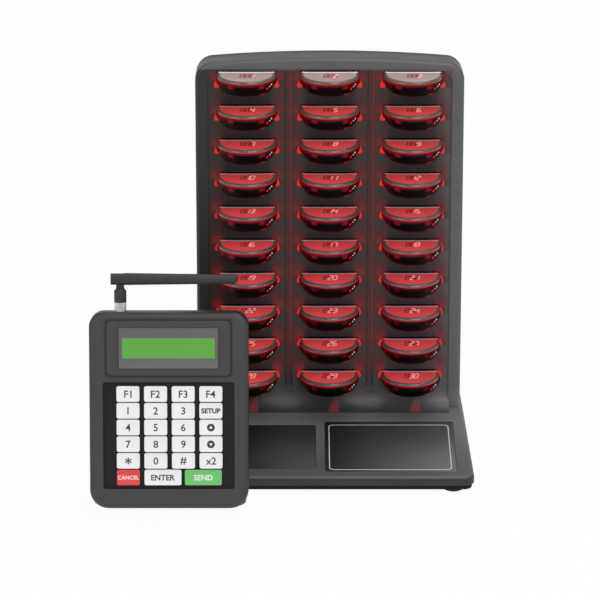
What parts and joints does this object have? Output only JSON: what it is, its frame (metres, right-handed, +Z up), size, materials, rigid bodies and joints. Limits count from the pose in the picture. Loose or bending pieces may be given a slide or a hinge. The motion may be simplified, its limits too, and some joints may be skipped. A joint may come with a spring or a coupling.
{
  "type": "guest pager system",
  "caption": "Countertop paging set: a leaning charging rack with rows of round slide-in guest pagers over a low base, and a free-standing keypad transmitter with a display and folding antenna.",
  "frame": {"origin": "on the counter, under the middle of the area that the whole set covers", "axes": "+Z up, -Y to the user: the pager panel, the keypad face and the keys face -Y, +X to the user's right"},
  "size_m": [0.3722, 0.3086, 0.379],
  "materials": {
    "rack_shell": "fine-grained dark grey plastic, glossy in the two recesses",
    "rack_cover": "fine-grained dark grey plastic",
    "pager_plastic": "glossy black case with a red-lit lens",
    "case_grey": "satin dark grey plastic",
    "display": "clear window over a green character display",
    "key_white": "satin white",
    "key_red": "satin red",
    "key_green": "satin green",
    "antenna_black": "satin black, with a silver ribbed nut"
  },
  "bodies": {
    "charging_rack": {"rack_front_shell": "rack_shell", "rack_rear_cover": "rack_cover"},
    "transmitter": {"transmitter_front_case": "case_grey", "transmitter_rear_case": "case_grey", "display_window": "display"},
    "pager_01": {"pager_01": "pager_plastic"},
    "pager_02": {"pager_02": "pager_plastic"},
    "pager_03": {"pager_03": "pager_plastic"},
    "pager_04": {"pager_04": "pager_plastic"},
    "pager_05": {"pager_05": "pager_plastic"},
    "pager_06": {"pager_06": "pager_plastic"},
    "pager_07": {"pager_07": "pager_plastic"},
    "pager_08": {"pager_08": "pager_plastic"},
    "pager_09": {"pager_09": "pager_plastic"},
    "pager_10": {"pager_10": "pager_plastic"},
    "pager_11": {"pager_11": "pager_plastic"},
    "pager_12": {"pager_12": "pager_plastic"},
    "pager_13": {"pager_13": "pager_plastic"},
    "pager_14": {"pager_14": "pager_plastic"},
    "pager_15": {"pager_15": "pager_plastic"},
    "pager_16": {"pager_16": "pager_plastic"},
    "pager_17": {"pager_17": "pager_plastic"},
    "pager_18": {"pager_18": "pager_plastic"},
    "pager_19": {"pager_19": "pager_plastic"},
    "pager_20": {"pager_20": "pager_plastic"},
    "pager_21": {"pager_21": "pager_plastic"},
    "pager_22": {"pager_22": "pager_plastic"},
    "pager_23": {"pager_23": "pager_plastic"},
    "pager_24": {"pager_24": "pager_plastic"},
    "pager_25": {"pager_25": "pager_plastic"},
    "pager_26": {"pager_26": "pager_plastic"},
    "pager_27": {"pager_27": "pager_plastic"},
    "pager_28": {"pager_28": "pager_plastic"},
    "pager_29": {"pager_29": "pager_plastic"},
    "pager_30": {"pager_30": "pager_plastic"},
    "key_f1": {"key_f1": "key_white"},
    "key_f2": {"key_f2": "key_white"},
    "key_f3": {"key_f3": "key_white"},
    "key_f4": {"key_f4": "key_white"},
    "key_1": {"key_1": "key_white"},
    "key_2": {"key_2": "key_white"},
    "key_3": {"key_3": "key_white"},
    "key_setup": {"key_setup": "key_white"},
    "key_4": {"key_4": "key_white"},
    "key_5": {"key_5": "key_white"},
    "key_6": {"key_6": "key_white"},
    "key_up": {"key_up": "key_white"},
    "key_7": {"key_7": "key_white"},
    "key_8": {"key_8": "key_white"},
    "key_9": {"key_9": "key_white"},
    "key_down": {"key_down": "key_white"},
    "key_star": {"key_star": "key_white"},
    "key_0": {"key_0": "key_white"},
    "key_hash": {"key_hash": "key_white"},
    "key_x2": {"key_x2": "key_white"},
    "key_cancel": {"key_cancel": "key_red"},
    "key_enter": {"key_enter": "key_white"},
    "key_send": {"key_send": "key_green"},
    "antenna_base": {"antenna_base": "antenna_black"},
    "antenna_whip": {"antenna_whip": "antenna_black"}
  },
  "joints": [
    {"name": "transmitter_lift", "type": "slide", "parent": "charging_rack", "child": "transmitter", "axis": [0, 0, 1], "range_m": [0, 0.12]},
    {"name": "pager_01_pull", "type": "slide", "parent": "charging_rack", "child": "pager_01", "axis": [0, -0.9986, 0.0523], "range_m": [0, 0.04]},
    {"name": "pager_02_pull", "type": "slide", "parent": "charging_rack", "child": "pager_02", "axis": [0, -0.9986, 0.0523], "range_m": [0, 0.04]},
    {"name": "pager_03_pull", "type": "slide", "parent": "charging_rack", "child": "pager_03", "axis": [0, -0.9986, 0.0523], "range_m": [0, 0.04]},
    {"name": "pager_04_pull", "type": "slide", "parent": "charging_rack", "child": "pager_04", "axis": [0, -0.9986, 0.0523], "range_m": [0, 0.04]},
    {"name": "pager_05_pull", "type": "slide", "parent": "charging_rack", "child": "pager_05", "axis": [0, -0.9986, 0.0523], "range_m": [0, 0.04]},
    {"name": "pager_06_pull", "type": "slide", "parent": "charging_rack", "child": "pager_06", "axis": [0, -0.9986, 0.0523], "range_m": [0, 0.04]},
    {"name": "pager_07_pull", "type": "slide", "parent": "charging_rack", "child": "pager_07", "axis": [0, -0.9986, 0.0523], "range_m": [0, 0.04]},
    {"name": "pager_08_pull", "type": "slide", "parent": "charging_rack", "child": "pager_08", "axis": [0, -0.9986, 0.0523], "range_m": [0, 0.04]},
    {"name": "pager_09_pull", "type": "slide", "parent": "charging_rack", "child": "pager_09", "axis": [0, -0.9986, 0.0523], "range_m": [0, 0.04]},
    {"name": "pager_10_pull", "type": "slide", "parent": "charging_rack", "child": "pager_10", "axis": [0, -0.9986, 0.0523], "range_m": [0, 0.04]},
    {"name": "pager_11_pull", "type": "slide", "parent": "charging_rack", "child": "pager_11", "axis": [0, -0.9986, 0.0523], "range_m": [0, 0.04]},
    {"name": "pager_12_pull", "type": "slide", "parent": "charging_rack", "child": "pager_12", "axis": [0, -0.9986, 0.0523], "range_m": [0, 0.04]},
    {"name": "pager_13_pull", "type": "slide", "parent": "charging_rack", "child": "pager_13", "axis": [0, -0.9986, 0.0523], "range_m": [0, 0.04]},
    {"name": "pager_14_pull", "type": "slide", "parent": "charging_rack", "child": "pager_14", "axis": [0, -0.9986, 0.0523], "range_m": [0, 0.04]},
    {"name": "pager_15_pull", "type": "slide", "parent": "charging_rack", "child": "pager_15", "axis": [0, -0.9986, 0.0523], "range_m": [0, 0.04]},
    {"name": "pager_16_pull", "type": "slide", "parent": "charging_rack", "child": "pager_16", "axis": [0, -0.9986, 0.0523], "range_m": [0, 0.04]},
    {"name": "pager_17_pull", "type": "slide", "parent": "charging_rack", "child": "pager_17", "axis": [0, -0.9986, 0.0523], "range_m": [0, 0.04]},
    {"name": "pager_18_pull", "type": "slide", "parent": "charging_rack", "child": "pager_18", "axis": [0, -0.9986, 0.0523], "range_m": [0, 0.04]},
    {"name": "pager_19_pull", "type": "slide", "parent": "charging_rack", "child": "pager_19", "axis": [0, -0.9986, 0.0523], "range_m": [0, 0.04]},
    {"name": "pager_20_pull", "type": "slide", "parent": "charging_rack", "child": "pager_20", "axis": [0, -0.9986, 0.0523], "range_m": [0, 0.04]},
    {"name": "pager_21_pull", "type": "slide", "parent": "charging_rack", "child": "pager_21", "axis": [0, -0.9986, 0.0523], "range_m": [0, 0.04]},
    {"name": "pager_22_pull", "type": "slide", "parent": "charging_rack", "child": "pager_22", "axis": [0, -0.9986, 0.0523], "range_m": [0, 0.04]},
    {"name": "pager_23_pull", "type": "slide", "parent": "charging_rack", "child": "pager_23", "axis": [0, -0.9986, 0.0523], "range_m": [0, 0.04]},
    {"name": "pager_24_pull", "type": "slide", "parent": "charging_rack", "child": "pager_24", "axis": [0, -0.9986, 0.0523], "range_m": [0, 0.04]},
    {"name": "pager_25_pull", "type": "slide", "parent": "charging_rack", "child": "pager_25", "axis": [0, -0.9986, 0.0523], "range_m": [0, 0.04]},
    {"name": "pager_26_pull", "type": "slide", "parent": "charging_rack", "child": "pager_26", "axis": [0, -0.9986, 0.0523], "range_m": [0, 0.04]},
    {"name": "pager_27_pull", "type": "slide", "parent": "charging_rack", "child": "pager_27", "axis": [0, -0.9986, 0.0523], "range_m": [0, 0.04]},
    {"name": "pager_28_pull", "type": "slide", "parent": "charging_rack", "child": "pager_28", "axis": [0, -0.9986, 0.0523], "range_m": [0, 0.04]},
    {"name": "pager_29_pull", "type": "slide", "parent": "charging_rack", "child": "pager_29", "axis": [0, -0.9986, 0.0523], "range_m": [0, 0.04]},
    {"name": "pager_30_pull", "type": "slide", "parent": "charging_rack", "child": "pager_30", "axis": [0, -0.9986, 0.0523], "range_m": [0, 0.04]},
    {"name": "key_f1_press", "type": "slide", "parent": "transmitter", "child": "key_f1", "axis": [0, 0.9511, -0.309], "range_m": [0, 0.0012], "stiffness_N_per_m": 500, "springref_m": -0.0004},
    {"name": "key_f2_press", "type": "slide", "parent": "transmitter", "child": "key_f2", "axis": [0, 0.9511, -0.309], "range_m": [0, 0.0012], "stiffness_N_per_m": 500, "springref_m": -0.0004},
    {"name": "key_f3_press", "type": "slide", "parent": "transmitter", "child": "key_f3", "axis": [0, 0.9511, -0.309], "range_m": [0, 0.0012], "stiffness_N_per_m": 500, "springref_m": -0.0004},
    {"name": "key_f4_press", "type": "slide", "parent": "transmitter", "child": "key_f4", "axis": [0, 0.9511, -0.309], "range_m": [0, 0.0012], "stiffness_N_per_m": 500, "springref_m": -0.0004},
    {"name": "key_1_press", "type": "slide", "parent": "transmitter", "child": "key_1", "axis": [0, 0.9511, -0.309], "range_m": [0, 0.0012], "stiffness_N_per_m": 500, "springref_m": -0.0004},
    {"name": "key_2_press", "type": "slide", "parent": "transmitter", "child": "key_2", "axis": [0, 0.9511, -0.309], "range_m": [0, 0.0012], "stiffness_N_per_m": 500, "springref_m": -0.0004},
    {"name": "key_3_press", "type": "slide", "parent": "transmitter", "child": "key_3", "axis": [0, 0.9511, -0.309], "range_m": [0, 0.0012], "stiffness_N_per_m": 500, "springref_m": -0.0004},
    {"name": "key_setup_press", "type": "slide", "parent": "transmitter", "child": "key_setup", "axis": [0, 0.9511, -0.309], "range_m": [0, 0.0012], "stiffness_N_per_m": 500, "springref_m": -0.0004},
    {"name": "key_4_press", "type": "slide", "parent": "transmitter", "child": "key_4", "axis": [0, 0.9511, -0.309], "range_m": [0, 0.0012], "stiffness_N_per_m": 500, "springref_m": -0.0004},
    {"name": "key_5_press", "type": "slide", "parent": "transmitter", "child": "key_5", "axis": [0, 0.9511, -0.309], "range_m": [0, 0.0012], "stiffness_N_per_m": 500, "springref_m": -0.0004},
    {"name": "key_6_press", "type": "slide", "parent": "transmitter", "child": "key_6", "axis": [0, 0.9511, -0.309], "range_m": [0, 0.0012], "stiffness_N_per_m": 500, "springref_m": -0.0004},
    {"name": "key_up_press", "type": "slide", "parent": "transmitter", "child": "key_up", "axis": [0, 0.9511, -0.309], "range_m": [0, 0.0012], "stiffness_N_per_m": 500, "springref_m": -0.0004},
    {"name": "key_7_press", "type": "slide", "parent": "transmitter", "child": "key_7", "axis": [0, 0.9511, -0.309], "range_m": [0, 0.0012], "stiffness_N_per_m": 500, "springref_m": -0.0004},
    {"name": "key_8_press", "type": "slide", "parent": "transmitter", "child": "key_8", "axis": [0, 0.9511, -0.309], "range_m": [0, 0.0012], "stiffness_N_per_m": 500, "springref_m": -0.0004},
    {"name": "key_9_press", "type": "slide", "parent": "transmitter", "child": "key_9", "axis": [0, 0.9511, -0.309], "range_m": [0, 0.0012], "stiffness_N_per_m": 500, "springref_m": -0.0004},
    {"name": "key_down_press", "type": "slide", "parent": "transmitter", "child": "key_down", "axis": [0, 0.9511, -0.309], "range_m": [0, 0.0012], "stiffness_N_per_m": 500, "springref_m": -0.0004},
    {"name": "key_star_press", "type": "slide", "parent": "transmitter", "child": "key_star", "axis": [0, 0.9511, -0.309], "range_m": [0, 0.0012], "stiffness_N_per_m": 500, "springref_m": -0.0004},
    {"name": "key_0_press", "type": "slide", "parent": "transmitter", "child": "key_0", "axis": [0, 0.9511, -0.309], "range_m": [0, 0.0012], "stiffness_N_per_m": 500, "springref_m": -0.0004},
    {"name": "key_hash_press", "type": "slide", "parent": "transmitter", "child": "key_hash", "axis": [0, 0.9511, -0.309], "range_m": [0, 0.0012], "stiffness_N_per_m": 500, "springref_m": -0.0004},
    {"name": "key_x2_press", "type": "slide", "parent": "transmitter", "child": "key_x2", "axis": [0, 0.9511, -0.309], "range_m": [0, 0.0012], "stiffness_N_per_m": 500, "springref_m": -0.0004},
    {"name": "key_cancel_press", "type": "slide", "parent": "transmitter", "child": "key_cancel", "axis": [0, 0.9511, -0.309], "range_m": [0, 0.0012], "stiffness_N_per_m": 500, "springref_m": -0.0004},
    {"name": "key_enter_press", "type": "slide", "parent": "transmitter", "child": "key_enter", "axis": [0, 0.9511, -0.309], "range_m": [0, 0.0012], "stiffness_N_per_m": 500, "springref_m": -0.0004},
    {"name": "key_send_press", "type": "slide", "parent": "transmitter", "child": "key_send", "axis": [0, 0.9511, -0.309], "range_m": [0, 0.0012], "stiffness_N_per_m": 500, "springref_m": -0.0004},
    {"name": "antenna_swivel", "type": "hinge", "parent": "transmitter", "child": "antenna_base", "pos_m": [-0.15627, -0.08663, 0.19364], "axis": [0, 0.309, 0.9511], "range_deg": [-180, 0]},
    {"name": "antenna_elbow", "type": "hinge", "parent": "antenna_base", "child": "antenna_whip", "pos_m": [-0.15627, -0.07702, 0.22321], "axis": [0, -0.9511, 0.309], "range_deg": [0, 90]}
  ]
}
